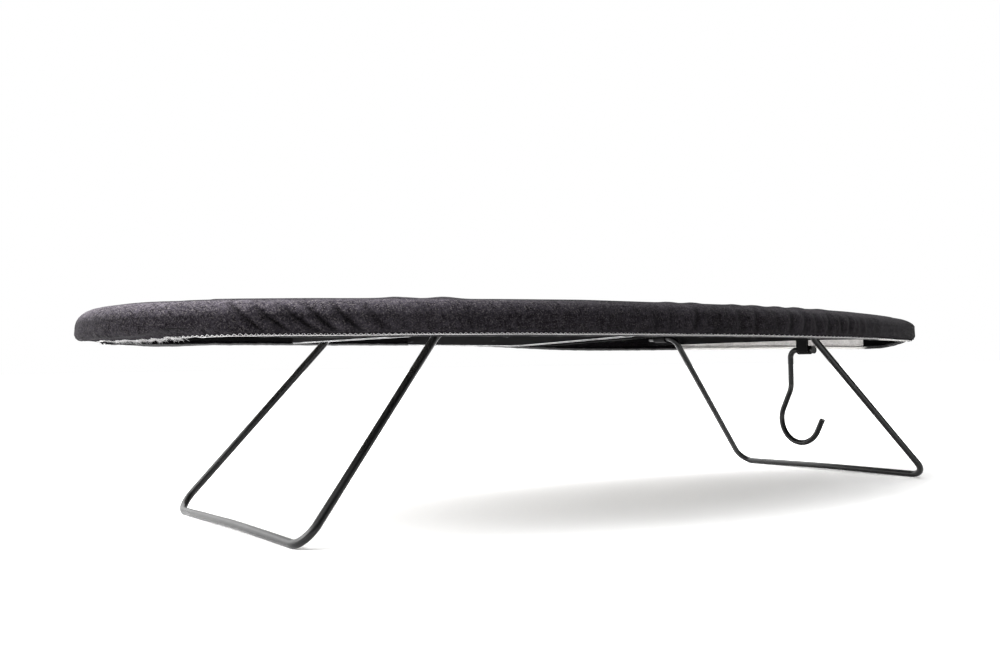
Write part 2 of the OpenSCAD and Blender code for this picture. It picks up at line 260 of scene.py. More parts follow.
def cotton(name, depth, sheen):
    """Black cotton: a fine weave with slubs, lint and fuzz, with painted light and painted shade.

    Painted light makes it paler on the top shoulder and at the tail. Painted shade from the cover's crease
    attribute darkens its creases, and painted shade darkens it towards the nose.
    """
    s = Shader(name, (0.01, 0.009, 0.011), 0.95, sheen_weight=sheen, sheen_roughness=0.35, ior=1.09)
    uv = s.uv()
    u, v, _ = s.parts(uv)
    turns = 2 * math.pi / WEAVE_PITCH
    warp = s.math("SINE", s.math("MULTIPLY", u, turns))
    weft = s.math("SINE", s.math("MULTIPLY", v, turns))
    weave = s.math("MULTIPLY", warp, weft)
    slub_x = s.noise(s.scaled(uv, (90, 1400, 1)), 1.0, 2)
    slub_y = s.noise(s.scaled(uv, (1400, 90, 1)), 1.0, 2)
    slubs = s.math("MULTIPLY", s.math("ADD", slub_x, slub_y), 0.5)
    point = s.object_point()
    mottle = s.noise(point, 420, 3, 0.6)
    broad = s.noise(point, 18, 2)
    fuzz = s.between(s.noise(point, 1300, 2, 0.7), 0.52, 0.74)
    shade = s.math("ADD", s.math("MULTIPLY", slubs, 0.5), s.math("MULTIPLY", mottle, 0.5))
    shade = s.math("ADD", shade, s.math("MULTIPLY", s.math("SUBTRACT", broad, 0.5), 0.25))
    color = s.mix(s.between(shade, 0.38, 0.64), (0.0022, 0.0018, 0.0026), (0.017, 0.0152, 0.0185))
    color = s.mix(s.math("MULTIPLY", fuzz, 0.6), color, (0.066, 0.061, 0.06))
    x, _, z = s.parts(point)
    # Painted light: paler on the rounded top shoulder, less on the flat top, paler at the tail, and most
    # where the two meet
    high = s.between(z, TOP_Z - 9 * MM, TOP_Z - 1.5 * MM)
    tail = s.between(x, -120 * MM, -340 * MM)
    flat = s.between(z, TOP_Z - 0.9 * MM, TOP_Z - 0.3 * MM, 1.0, 0.35)
    high = s.math("MULTIPLY", high, flat)
    painted_light = s.math("ADD", high, s.math("MULTIPLY", tail, TAIL_PAINTED_LIGHT))
    painted_light = s.math("ADD", painted_light, s.math("MULTIPLY", s.math("MULTIPLY", high, tail), TAIL_TOP_PAINTED_LIGHT))
    # Painted shade in the crease valleys and painted light on their ridges, read from the cover's crease
    # attribute; depth scales the whole colour
    crease_shade = s.add("Attribute", attribute_name="crease_shade").outputs["Fac"]
    painted_shade = s.between(crease_shade, -0.4, 0.9, 1.2 * depth, 0.25 * depth)
    # Painted shade: the cotton is darker towards the nose
    painted_shade = s.math("MULTIPLY", painted_shade, s.between(x, 200 * MM, 350 * MM, 1.0, 0.5))
    painted_light = s.math("MULTIPLY", s.math("ADD", painted_light, 1.0), painted_shade)
    color = s.times(color, painted_light)
    height = s.math("ADD", s.math("MULTIPLY", weave, 0.25), s.math("MULTIPLY", mottle, 0.9))
    soft = s.bump(s.noise(point, 60, 3), 0.5 * MM, 0.35)
    return s.finish(color, None, s.bump(height, 0.16 * MM, 0.8, soft))


def felt(name, light, dark, scale):
    """Needled felt or fleece: matted fibres and small tufts."""
    s = Shader(name, light, 0.97, sheen_weight=0.4, sheen_roughness=0.5)
    point = s.object_point()
    fibres = s.noise(s.scaled(point, (1, 2.4, 1.6)), scale, 4, 0.65)
    tufts = s.noise(point, scale * 0.22, 3, 0.6)
    color = s.mix(s.between(s.math("ADD", fibres, tufts), 0.75, 1.25), dark, light)
    return s.finish(color, None, s.bump(s.math("ADD", fibres, tufts), 0.35 * MM, 0.9))


def powder_coat(name, dark, light, roughness, coat, ior):
    """Powder coat on steel: orange peel, faint cloudiness, and scuffs rubbed down to a greyer coat."""
    s = Shader(name, dark, roughness, coat_weight=coat, coat_roughness=0.12, coat_ior=1.35, ior=ior)
    point = s.object_point()
    peel = s.noise(point, 900, 2, 0.45)
    cloud = s.noise(point, 35, 3, 0.6)
    scratch = s.noise(s.scaled(point, (300, 60, 900)), 1.0, 3, 0.7)
    scuffs = s.math("MULTIPLY", s.between(scratch, 0.64, 0.74), s.between(cloud, 0.5, 0.62))
    color = s.mix(s.between(cloud, 0.35, 0.7), dark, light)
    color = s.mix(s.math("MULTIPLY", scuffs, 0.6), color, (0.16, 0.16, 0.165))
    rough = s.between(cloud, 0.3, 0.7, roughness - 0.05, roughness + 0.07)
    rough = s.math("ADD", rough, s.math("MULTIPLY", scuffs, 0.2))
    return s.finish(color, rough, s.bump(peel, 0.03 * MM, 0.5))


def thread():
    """Twisted white sewing thread, painted near black as painted shade where the near side of the nose is
    turned under.
    """
    s = Shader("white_thread", (0.5, 0.49, 0.49), 0.85, sheen_weight=0.2)
    point = s.object_point()
    fibre = s.noise(point, 2600, 3, 0.6)
    soil = s.noise(point, 120, 2)
    color = s.mix(s.between(fibre, 0.3, 0.7), (0.36, 0.355, 0.36), (0.62, 0.61, 0.61))
    color = s.mix(s.math("MULTIPLY", s.between(soil, 0.55, 0.75), 0.35), color, (0.4, 0.39, 0.38))
    x, y, _ = s.parts(point)
    # Painted shade: the thread goes near black where the near side of the nose turns under
    nose = s.between(x, 300 * MM, 322 * MM)
    near = s.between(y, 0, -10 * MM)
    color = s.mix(s.math("MULTIPLY", nose, near), color, (0.006, 0.006, 0.0065))
    return s.finish(color, None, s.bump(fibre, 0.08 * MM, 0.8))


RIB_PITCH = 0.9 * MM
LOOP_PITCH = 0.7 * MM
PALE_FADE = 4 * MM


def elastic_knit():
    """Knitted elastic: ribs along the band and loops across it; pale beside the pale reverse, and black
    painted shade elsewhere.
    """
    s = Shader("elastic_knit", (0.7, 0.69, 0.66), 0.88, sheen_weight=0.2)
    u, v, _ = s.parts(s.uv())
    along = s.math("SINE", s.math("MULTIPLY", u, 2 * math.pi / RIB_PITCH))
    across = s.math("SINE", s.math("MULTIPLY", v, 2 * math.pi / LOOP_PITCH))
    knit = s.math("ADD", s.math("MULTIPLY", along, 0.3), s.math("MULTIPLY", across, 0.5))
    grain = s.noise(s.object_point(), 900, 3)
    pattern = s.between(s.math("ADD", knit, grain), -0.3, 1.3)
    pale = s.mix(pattern, (0.5, 0.49, 0.47), (0.8, 0.79, 0.76))
    # Painted shade: the band is black outside the pale stretch
    painted_shade_knit = s.mix(pattern, (0.004, 0.004, 0.0045), (0.014, 0.0135, 0.015))
    x, y, _ = s.parts(s.object_point())
    start, end = PALE_INSIDE
    inside = s.math("MULTIPLY", s.between(x, start, start + PALE_FADE), s.between(x, end, end - PALE_FADE))
    before_turn = s.between(x, PALE_NEAR_END, PALE_NEAR_END - PALE_FADE)
    far_side = s.between(y, -2 * MM, 2 * MM)
    inside = s.math("MULTIPLY", inside, s.math("MAXIMUM", before_turn, far_side))
    return s.finish(s.mix(inside, painted_shade_knit, pale), None, s.bump(knit, 0.15 * MM, 0.8))


def edge_highlight_shader():
    """Painted highlight: a pale, half metallic line that stands for a rail's lower edge catching the light.
    """
    s = Shader("painted_edge_highlight", (0.5, 0.5, 0.51), 0.4, metallic=0.5)
    highlight_noise = s.noise(s.object_point(), 60, 3, 0.6)
    color = s.mix(s.between(highlight_noise, 0.3, 0.55), (0.4, 0.4, 0.41), (0.85, 0.85, 0.86))
    return s.finish(color, s.between(highlight_noise, 0.3, 0.7, 0.5, 0.32))


COTTON = cotton("black_cotton", depth=0.95, sheen=0.025)
# A half-dark copy of the black cotton without sheen: painted shade inside the hem
HEM_INSIDE_SHADE = cotton("black_hem_inside_painted_shade", depth=0.5, sheen=0.0)
REVERSE = felt("cover_reverse", (0.8, 0.775, 0.76), (0.52, 0.5, 0.49), 700)
WADDING = felt("needled_wadding", (0.66, 0.64, 0.6), (0.44, 0.42, 0.39), 420)
WIRE_COAT = powder_coat(
    "black_wire_coat", (0.0015, 0.0015, 0.0016), (0.004, 0.004, 0.0042), roughness=0.3, coat=0.08, ior=1.35
)
SHEET_COAT = powder_coat(
    "black_sheet_coat", (0.002, 0.0019, 0.0022), (0.0045, 0.0042, 0.0047), roughness=0.6, coat=0.0, ior=1.14
)
RIVET_COAT = powder_coat(
    "black_rivet", (0.01, 0.01, 0.0105), (0.022, 0.022, 0.023), roughness=0.35, coat=0.1, ior=1.3
)
THREAD = thread()
ELASTIC = elastic_knit()
# Painted highlight for the rails' lower edges
EDGE_HIGHLIGHT = edge_highlight_shader()

# ---------------------------------------------------------------- cover
LOOP = 1200
HALF_LOOP = LOOP // 2
RIM, OUT, RIM_LENGTH = outline(LOOP)
STEP = RIM_LENGTH / LOOP
CLOTH_T = 0.9 * MM
DECK_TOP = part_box("mesh_deck")[1][2]
NOSE_DROP = 3.4 * MM


def flattened(x, z):
    """Height after the wadding thins out towards the nose tip."""
    share = np.clip((z - DECK_TOP) / (TOP_Z - DECK_TOP), 0, 1.2)
    return z - NOSE_DROP * ease((x - 275 * MM) / (95 * MM)) * share


NEAR = RIM[:, 1] < 0
# How much of each loop point belongs to the tail end and to the nose end, from 0 to 1
TAIL_SHARE = np.clip((-RIM[:, 0] - 316 * MM) / (38 * MM), 0, 1) ** 1.2
NOSE_SHARE = ease((RIM[:, 0] - 325 * MM) / (18 * MM)) * np.clip((-16 * MM - RIM[:, 1]) / (10 * MM), 0, 1)
ENDS = np.maximum(TAIL_SHARE, 0.75 * NOSE_SHARE)
# From 0 on the near side of the nose tip to 1 on its far side
NOSE_ACROSS = np.clip((RIM[:, 1] + 26 * MM) / (40 * MM), 0, 1)


def shoulder(x):
    """How far the rounded shoulder reaches in and down at X: tight round the nose, full round the tail."""
    crisp = ease((x - 250 * MM) / (90 * MM))
    full = ease((-x - 240 * MM) / (90 * MM))
    return (12 - 7 * crisp + 1.5 * full) * MM, (9 - 4.5 * crisp + 1.2 * full) * MM


def wobble(along, wavelength, seed):
    """Smooth noise from -1 to 1 along the loop, which closes on itself."""
    radius = RIM_LENGTH / (2 * math.pi * wavelength)
    turn = 2 * math.pi * along / RIM_LENGTH
    return np.array([noise.noise((radius * math.cos(a), radius * math.sin(a), seed)) for a in turn]) * 1.8


ALONG = np.arange(LOOP) * STEP
# Where the skirt's lower edge leaves its even height, from 0 to 1. On the far side it sits high
# towards the tail and hangs low towards the nose; the near side rises at the nose.
FAR_TAIL = ease((60 * MM - RIM[:, 0]) / (90 * MM)) * ease((290 * MM + RIM[:, 0]) / (50 * MM)) * ~NEAR
FAR_NOSE = ease((RIM[:, 0] - 10 * MM) / (80 * MM)) * NOSE_ACROSS
NEAR_NOSE = ease((RIM[:, 0] - 328 * MM) / (20 * MM)) * (1 - NOSE_ACROSS)
NOSE_TIP = ease((RIM[:, 0] - 315 * MM) / (40 * MM)) * ease((RIM[:, 1] + 24 * MM) / (20 * MM))
# The rises and drops of that edge, in mm
FAR_TAIL_RISE = 2.3
FAR_NOSE_DROP = 3.3
NEAR_NOSE_RISE = 4.5
NOSE_TIP_DROP = 2.0
EDGE_WAVER = 0.2
EDGE_Z = HEM_Z + MM * (
    FAR_TAIL_RISE * FAR_TAIL - FAR_NOSE_DROP * FAR_NOSE + NEAR_NOSE_RISE * NEAR_NOSE
    - NOSE_TIP_DROP * NOSE_TIP + EDGE_WAVER * wobble(ALONG, 30 * MM, 3.1)
)
# The gathered edge rolls in under the board: how far it turns, and the length left beyond the turn
CORNER_R = (4.5 - 2.1 * ease((RIM[:, 0] - 250 * MM) / (80 * MM))) * MM
TURN = np.radians(14 + 76 * TAIL_SHARE + 92 * NOSE_SHARE)
LIP = (1.5 + 6.5 * TAIL_SHARE + 3.5 * NOSE_SHARE) * MM
SHOULDER_IN, SHOULDER_DOWN = shoulder(RIM[:, 0])


# Rows of points in the skirt: on the lip and again on its turn, on the wall, and on the shoulder
TURN_ROWS = 4
WALL_ROWS = 8
SHOULDER_ROWS = 8
TOP_ROWS = 36


def profile(k):
    """Cross-section of the skirt at loop point k, from its stitched edge up to the flat top: (inset, z)."""
    turn, lip, r = TURN[k], LIP[k], CORNER_R[k]
    wall_low = EDGE_Z[k] + r * math.sin(turn) + lip * math.cos(turn)
    wall_high = TOP_Z - SHOULDER_DOWN[k]
    inset, z = r * (1 - math.cos(turn)), wall_low - r * math.sin(turn)
    points = []
    for i in range(TURN_ROWS):
        left = lip * (1 - i / TURN_ROWS)
        points.append((inset + left * math.sin(turn), z - left * math.cos(turn)))
    for i in range(TURN_ROWS):
        a = turn * (1 - i / TURN_ROWS)
        points.append((r * (1 - math.cos(a)), wall_low - r * math.sin(a)))
    for i in range(WALL_ROWS):
        points.append((0, wall_low + (wall_high - wall_low) * i / WALL_ROWS))
    for i in range(SHOULDER_ROWS + 1):
        a = math.pi / 2 * i / SHOULDER_ROWS
        points.append((SHOULDER_IN[k] * (1 - math.cos(a)), wall_high + SHOULDER_DOWN[k] * math.sin(a)))
    return points


SKIRT = np.array([profile(k) for k in range(LOOP)])
SKIRT_ROWS = SKIRT.shape[1]


def fill_rows(ring, z, count):
    """Rows of points from a closed ring inward to the board's middle line."""
    middle_x = np.interp(ring[:, 0], (-HALF_L, HALF_L), (TAIL_X, NOSE_X))
    middle = np.column_stack([middle_x, np.zeros(len(ring))])
    rows = []
    for i in range(1, count + 1):
        t = i / count
        xy = ring * (1 - t) + middle * t
        rows.append(np.column_stack([xy, np.full(len(ring), z)]))
    return rows


def skin(rows, first_is_middle=False):
    """Joins closed rows of points into faces.

    The last row, and the first if asked, closes on the middle line.
    """
    count = len(rows[0])
    closing = {len(rows) - 1} | ({0} if first_is_middle else set())

    def index(row, k):
        k %= count
        if row in closing and k > count // 2:
            k = count - k
        return row * count + k

    faces = []
    for row in range(len(rows) - 1):
        for k in range(count):
            face = [index(row, k), index(row, k + 1), index(row + 1, k + 1), index(row + 1, k)]
            faces.append(tuple(dict.fromkeys(face)))
    return [f for f in faces if len(f) > 2]


def without_loose(verts, faces):
    """Drops the points that no face uses; also says which were kept."""
    used = np.unique(np.concatenate([np.array(f) for f in faces]))
    place = np.full(len(verts), -1)
    place[used] = np.arange(len(used))
    return verts[used], [tuple(int(place[i]) for i in f) for f in faces], used


def cover_rows():
    """The cover as a single sheet, row by row from its stitched edge, and the same rows on the flat cut."""
    inner = RIM - OUT * SHOULDER_IN[:, None]
    lengths = np.linalg.norm(np.diff(SKIRT, axis=1), axis=2)
    down = np.column_stack([lengths[:, ::-1].cumsum(1)[:, ::-1], np.zeros(LOOP)])
    rows = [np.column_stack([RIM - OUT * SKIRT[:, i, :1], SKIRT[:, i, 1]]) for i in range(SKIRT_ROWS)]
    flats = [inner + OUT * down[:, i, None] for i in range(SKIRT_ROWS)]
    top = fill_rows(inner, TOP_Z, TOP_ROWS)
    return rows + top, flats + [row[:, :2] for row in top]


def near_along(x_mm):
    """Distance along the loop of the near side's point at this X."""
    near = np.arange(HALF_LOOP, LOOP)
    return np.interp(x_mm * MM, RIM[near, 0], ALONG[near])


# Creases, listed one by one: X in mm on the near side, depth and half width in mm, and the lean,
# which is how far the crease moves along the loop for each mm of height
CREASES = [
    (-311, 1.6, 2.0, 1.2), (-301, 2.4, 2.2, 1.3), (-289, 2.8, 2.4, 1.3), (-279, 1.7, 2.2, 1.2),
    (-267, 2.0, 2.6, 1.1), (-253, 1.0, 3.0, 0.9), (-228, 0.4, 5.0, 0.3), (-206, 0.4, 5.0, 0.2),
    (-118, 0.3, 5.0, 0.2), (-88, 0.6, 3.4, 0.1), (-76, 0.5, 3.0, 0.0), (-55, 1.1, 3.0, -0.3),
    (-36, 0.4, 3.6, 0.1), (-14, 0.7, 3.4, 0.1), (2, 0.8, 3.0, -0.2), (24, 0.7, 3.4, 0.2),
    (41, 1.1, 3.4, -0.3), (58, 0.9, 3.0, -0.2), (74, 0.9, 3.2, 0.3), (92, 0.8, 3.4, -0.3),
    (110, 0.9, 3.0, 0.2), (125, 1.0, 3.2, -0.3), (146, 0.6, 4.0, 0.1), (178, 0.4, 5.0, 0.0),
]
# Creases this deep or deeper get the full painted shade in their valleys
CREASE_SHADE_FULL_DEPTH = 1.6
RIDGE_AT = 1.9
# The cloth cannot sink further than this, as the rim and the wadding are behind it
INWARD_CAP = 0.4 * MM
# Soft humps along the near shoulder: X, height and half width, all in mm
HUMPS = [
    (-239, 0.9, 9), (-217, 1.1, 9), (-68, 0.5, 6), (-47, 0.6, 6), (-7, 0.5, 6), (14, 0.6, 7),
    (40, 0.6, 6), (65, 0.7, 7), (100, 0.5, 9),
]


def near_gap(x_mm, shift=0.0):
    """Signed distance along the loop from the near side's point at this X."""
    gap = ALONG - near_along(x_mm) - shift
    return (gap + RIM_LENGTH / 2) % RIM_LENGTH - RIM_LENGTH / 2


def shape_rows(rows):
    """Adds gathers at the drawn-in ends, creases and humps on the near side, and soft swells on the top.

    Also gives each point's painted crease shade, from 1 in the valley to below 0 on its ridges.
    """
    rows = np.array(rows)
    skirt = rows[:SKIRT_ROWS]
    height = (skirt[:, :, 2] - EDGE_Z) / (TOP_Z - EDGE_Z)
    fine = wobble(ALONG, 5.5 * MM, 11.0)
    mid = wobble(ALONG, 11 * MM, 23.0)
    lift = 1 - ease(height / 0.75)
    push = MM * lift * ((0.2 + 0.7 * ENDS) * mid + (0.05 + 0.5 * ENDS) * fine)
    push += 0.3 * MM * wobble(ALONG, 60 * MM, 5.0) * np.sin(np.pi * np.clip(height, 0, 1))
    tall = TOP_Z - HEM_Z
    body = ease((height - 0.08) / 0.22) * ease((1.0 - height) / 0.4)
    shade = np.zeros_like(push)
    for x, depth, half, lean in CREASES:
        t = near_gap(x, (0.5 - height) * tall * lean) / (half * MM)
        valley, ridge = np.exp(-t * t), np.exp(-((np.abs(t) - RIDGE_AT) ** 2) / 0.8)
        push += depth * MM * body * (0.75 * ridge - 0.45 * valley)
        shade += min(depth, CREASE_SHADE_FULL_DEPTH) / CREASE_SHADE_FULL_DEPTH * body * (valley - 0.3 * ridge)
    covers_rim = ease((height - 0.1) / 0.1)
    sunk = -INWARD_CAP * np.tanh(-push / INWARD_CAP) * covers_rim + push * (1 - covers_rim)
    push = np.where(push < 0, sunk, push)
    skirt[:, :, :2] += OUT * push[:, :, None]
    turned = TURN_ROWS + 1
    skirt[:turned, :, 2] += MM * ENDS * (0.7 * fine + 0.7 * mid) * np.linspace(1, 0.2, turned)[:, None]
    humps = sum(tall_mm * MM * np.exp(-((near_gap(x) / (half * MM)) ** 2)) for x, tall_mm, half in HUMPS)
    fade = np.exp(-((np.arange(1, TOP_ROWS + 1) / 4) ** 2))
    share = np.concatenate([ease((height - 0.5) / 0.4), np.repeat(fade[:, None], LOOP, 1)])
    rows[:, :, 2] += share * humps
    for row in rows[SKIRT_ROWS - 1:]:
        for point in row:
            swell = noise.noise((point[0] * 9, point[1] * 14, 4.0))
            ripple = noise.noise((point[0] * 30, point[1] * 55, 9.0))
            point[2] += MM * (0.15 + 0.4 * swell + 0.12 * ripple)
    rows[:, :, 2] = flattened(rows[:, :, 0], rows[:, :, 2])
    return rows, np.concatenate([shade, np.zeros((TOP_ROWS, LOOP))])


# Cloth simulation of the skirt and shoulder. A point moves no further than SIM_CAP. Where the rim
# or the wadding backs the cloth, it sinks and swells no further than the other two.
SIM_TOP_ROWS = 5
SIM_FRAMES = 16
SIM_CAP = 1.6 * MM
SINK_CAP = 0.12 * MM
SWELL_CAP = 0.3 * MM
# Rows from the stitched edge up: held a little, free of any backing, and gathered. The last rows
# that move are held more and more.
EDGE_ROWS = 2
EDGE_HOLD = 0.35
FREE_ROWS = 5
GATHERED_ROWS = 9
HELD_ROWS = 3
PRESSURE = 1.2
EDGE_SHRINK = 0.05


def relax(rows):
    """Runs the skirt and shoulder as cloth.

    Wadding presses from inside, and the edge draws up along its elastic.
    """
    moving = SKIRT_ROWS + SIM_TOP_ROWS
    count = moving * LOOP
    start = rows[:moving].reshape(-1, 3)
    faces = skin(list(rows[:moving]) + [rows[moving]])
    trial = new_object("cloth_trial", start, [f for f in faces if max(f) < count])
    row_of = np.arange(count) // LOOP
    hold = np.clip((row_of - (moving - HELD_ROWS - 1)) / HELD_ROWS, 0, 1)
    hold = np.where(row_of < EDGE_ROWS, EDGE_HOLD, hold)
    gather = np.clip(1 - row_of / GATHERED_ROWS, 0, 1)
    for name, weights in (("hold", hold), ("gather", gather)):
        group = trial.vertex_groups.new(name=name)
        for row in range(moving):
            members = list(range(row * LOOP, (row + 1) * LOOP))
            group.add(members, float(weights[row * LOOP]), "REPLACE")
    cloth = trial.modifiers.new("cloth", "CLOTH")
    settings = cloth.settings
    settings.quality = 4
    settings.mass = 0.2
    settings.tension_stiffness = settings.compression_stiffness = 12
    settings.shear_stiffness = 6
    settings.bending_stiffness = 0.4
    settings.vertex_group_mass = "hold"
    settings.vertex_group_shrink = "gather"
    settings.shrink_min = 0.0
    settings.shrink_max = EDGE_SHRINK
    settings.use_pressure = True
    settings.uniform_pressure_force = PRESSURE
    settings.effector_weights.gravity = 0
    cloth.point_cache.frame_start = 1
    cloth.point_cache.frame_end = SIM_FRAMES
    scene = bpy.context.scene
    for step in range(1, SIM_FRAMES + 1):
        scene.frame_set(step)
    shown = trial.evaluated_get(bpy.context.evaluated_depsgraph_get())
    moved = np.zeros(count * 3, np.float32)
    shown.data.vertices.foreach_get("co", moved)
    scene.frame_set(1)
    change = moved.reshape(-1, 3) - start
    far = np.linalg.norm(change, axis=1)
    print("cloth moved, mm: mean", (far.mean() / MM).round(2), "most", (far.max() / MM).round(2))
    change *= (SIM_CAP * np.tanh(far / SIM_CAP) / np.maximum(far, 1e-9))[:, None]
    bpy.data.objects.remove(trial)
    change = change.reshape(moving, LOOP, 3)
    along = np.roll(rows[:moving], -1, 1) - np.roll(rows[:moving], 1, 1)
    upward = np.gradient(rows[:moving + 1], axis=0)[:moving]
    face = np.cross(along, upward)
    face /= np.maximum(np.linalg.norm(face, axis=2), 1e-12)[:, :, None]
    proud = (change * face).sum(2)
    backed = np.clip((np.arange(moving) - FREE_ROWS) / 3, 0, 1)[:, None]
    change += face * ((np.clip(proud, -SINK_CAP, SWELL_CAP) - proud) * backed)[:, :, None]
    out = rows.copy()
    out[:moving] += change
    return out


# The cover's material slots: what faces out, with what faces in next to it
PALE_BACKED, SHADE_BACKED = 0, 2


def make_cover():
    """The cover, its rows of points and the outline of its flat cut."""
    rows, flats = cover_rows()
    rows, shade = shape_rows(rows)
    rows = relax(rows)
    verts, faces, used = without_loose(rows.reshape(-1, 3), skin(rows))
    flat = np.concatenate(flats)[used]
    piece = new_object("cotton_cover", verts, faces)
    # This attribute carries the painted shade of the creases to the cotton material
    crease_shade = piece.data.attributes.new("crease_shade", "FLOAT", "POINT")
    crease_shade.data.foreach_set("value", shade.ravel()[used].astype(np.float32))
    layer = piece.data.uv_layers.new(name="flat_cut")
    corner = np.zeros(len(piece.data.loops), np.int32)
    piece.data.loops.foreach_get("vertex_index", corner)
    layer.data.foreach_set("uv", flat[corner].astype(np.float32).ravel())
    set_materials(piece, COTTON, REVERSE, COTTON, HEM_INSIDE_SHADE)
    # Inside, the faces beyond the pale stretch take black painted shade
    for face in piece.data.polygons:
        pale_end = PALE_INSIDE[1] if face.center.y > 0 else PALE_NEAR_END
        face.material_index = PALE_BACKED if PALE_INSIDE[0] < face.center.x < pale_end else SHADE_BACKED
    solid = piece.modifiers.new("thickness", "SOLIDIFY")
    solid.thickness = CLOTH_T
    solid.offset = -1
    solid.material_offset = 1
    solid.material_offset_rim = 0
    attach(piece, "board")
    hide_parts("cover")
    return piece, rows, flats[0]


cover, COVER_ROWS, CUT_EDGE = make_cover()


# ---------------------------------------------------------------- overlock stitching round the edge
STITCH = 2.9 * MM
STITCH_POINTS = 8
TOOTH = 1.3 * MM
THREAD_R = 0.15 * MM
THREAD_SIDES = 6
# How far up and in the thread is tucked where the near side of the nose is turned under
TUCK_UP = 1.0 * MM
TUCK_IN_ZIGZAG = 1.3 * MM
TUCK_IN_CHAIN = 1.2 * MM


def unit_rows(a):
    return a / np.linalg.norm(a, axis=1)[:, None]


def beside_edge(at, back, proud):
    """Points beside the cover's edge.

    at runs along the loop, back is up the cloth, and proud is off its outer face.
    """
    edge = COVER_ROWS[0]
    up = unit_rows(COVER_ROWS[2] - edge)
    tangent = unit_rows(np.roll(edge, -1, 0) - np.roll(edge, 1, 0))
    face = unit_rows(np.cross(tangent, up))
    run = np.arange(LOOP + 1) * STEP
    at = np.asarray(at) % RIM_LENGTH

    def sampled(values):
        ring = np.concatenate([values, values[:1]])
        return np.stack([np.interp(at, run, ring[:, k]) for k in range(3)], 1)

    return sampled(edge) + sampled(up) * back[:, None] + sampled(face) * proud[:, None]


def make_stitches():
    """A zigzag of thread over the raw edge and a chain of it along the edge.

    The teeth get smaller towards the nose, and every second one is slack.
    """
    count = int(RIM_LENGTH / STITCH)
    phase = np.arange(count * STITCH_POINTS) / STITCH_POINTS
    at = phase * RIM_LENGTH / count
    tooth = 1 - np.abs(2 * (phase % 1) - 1)
    x, y = (np.interp(at, ALONG, RIM[:, k]) for k in (0, 1))
    slack = ease((x + 120 * MM) / (160 * MM)) * (np.floor(phase) % 2)
    towards_nose = ease((x - 140 * MM) / (90 * MM))
    size = (1 + 0.3 * wobble(at, 6 * MM, 2.0)) * (1 - 0.7 * slack) * (1 - 0.7 * towards_nose)
    tucked = ease((x - 308 * MM) / (30 * MM)) * np.clip(-y / (12 * MM), 0, 1)
    at = at + 0.4 * MM * wobble(at, 9 * MM, 31.0)
    back = TOOTH * size * tooth - 0.3 * MM + TUCK_UP * tucked
    proud = 0.35 * MM * np.sqrt(tooth) - THREAD_R - TUCK_IN_ZIGZAG * tucked
    zigzag = tube("overlock_zigzag", beside_edge(at, back, proud), THREAD_R, THREAD_SIDES, closed=True)
    at = phase * RIM_LENGTH / count
    sway = 0.1 * MM * np.sin(2 * math.pi * at / STITCH * 2)
    rise = -0.25 * MM + 0.1 * MM * wobble(at, 4 * MM, 8.0) + TUCK_UP * tucked
    path = beside_edge(at, rise, sway - 0.1 * MM - TUCK_IN_CHAIN * tucked)
    chain = tube("overlock_chain", path, THREAD_R, THREAD_SIDES, closed=True)
    for piece in (zigzag, chain):
        set_materials(piece, THREAD)
        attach(piece, "board")
    return [zigzag, chain]


# Each fibre is a curve of this many rings, with its corners at these angles
HAIR_RINGS = 5
HAIR_CORNERS = (0, 2.1, 4.2)


def hairs(name, low_at, high_at, count, length, radius, seed):
    """Short tapered fibres that stand off the cover's edge between two places along the loop."""
    rng = np.random.default_rng(seed)
    at = rng.uniform(low_at, high_at, count)
    root = beside_edge(at, rng.uniform(-0.3, 1.2, count) * MM, rng.uniform(0, 0.3, count) * MM)
    lie = rng.uniform(-1, 1, count) * length
    drop = -rng.uniform(0.15, 0.6, count) * length
    middle = beside_edge(at + lie * 0.5, drop * 0.3, np.full(count, 0.5 * MM))
    tip = beside_edge(at + lie, drop, rng.uniform(-1, 1, count) * 0.4 * length)
    verts, faces = [], []
    for a, b, c in zip(root, middle, tip):
        base = len(verts)
        for i in range(HAIR_RINGS):
            t = i / (HAIR_RINGS - 1)
            p = a * (1 - t) ** 2 + 2 * b * t * (1 - t) + c * t * t
            r = radius * (1 - 0.7 * t)
            for turn in HAIR_CORNERS:
                verts.append(p + r * np.array([math.cos(turn) * 0.6, math.cos(turn) * 0.8, math.sin(turn)]))
        faces += ring_faces(HAIR_RINGS, len(HAIR_CORNERS), base)
    return new_object(name, verts, faces)


def make_loose_fibres():
    """Loose thread in the gathers under the tail, and felt fluff below the pale reverse."""
    ends = hairs("loose_thread", near_along(-364), near_along(-338), 260, 4 * MM, 0.14 * MM, 3)
    set_materials(ends, THREAD)
    far_x = RIM[:HALF_LOOP, 0]
    pale = ALONG[:HALF_LOOP][(far_x > PALE_INSIDE[0]) & (far_x < PALE_INSIDE[1])]
    fluff = hairs("felt_fluff", pale.min(), pale.max(), 420, 2.2 * MM, 0.16 * MM, 5)
    set_materials(fluff, REVERSE)
    for piece in (ends, fluff):
        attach(piece, "board")
    return [ends, fluff]


# ---------------------------------------------------------------- wadding, elastic and mesh
PAD_LOOP = 360
PAD_SIDE_ROWS = 8
PAD_TOP_ROWS = 20
# How far the pad stays inside the cover's shoulder, across and down
PAD_INSIDE = 2.1 * MM
PAD_BELOW = 2.3 * MM


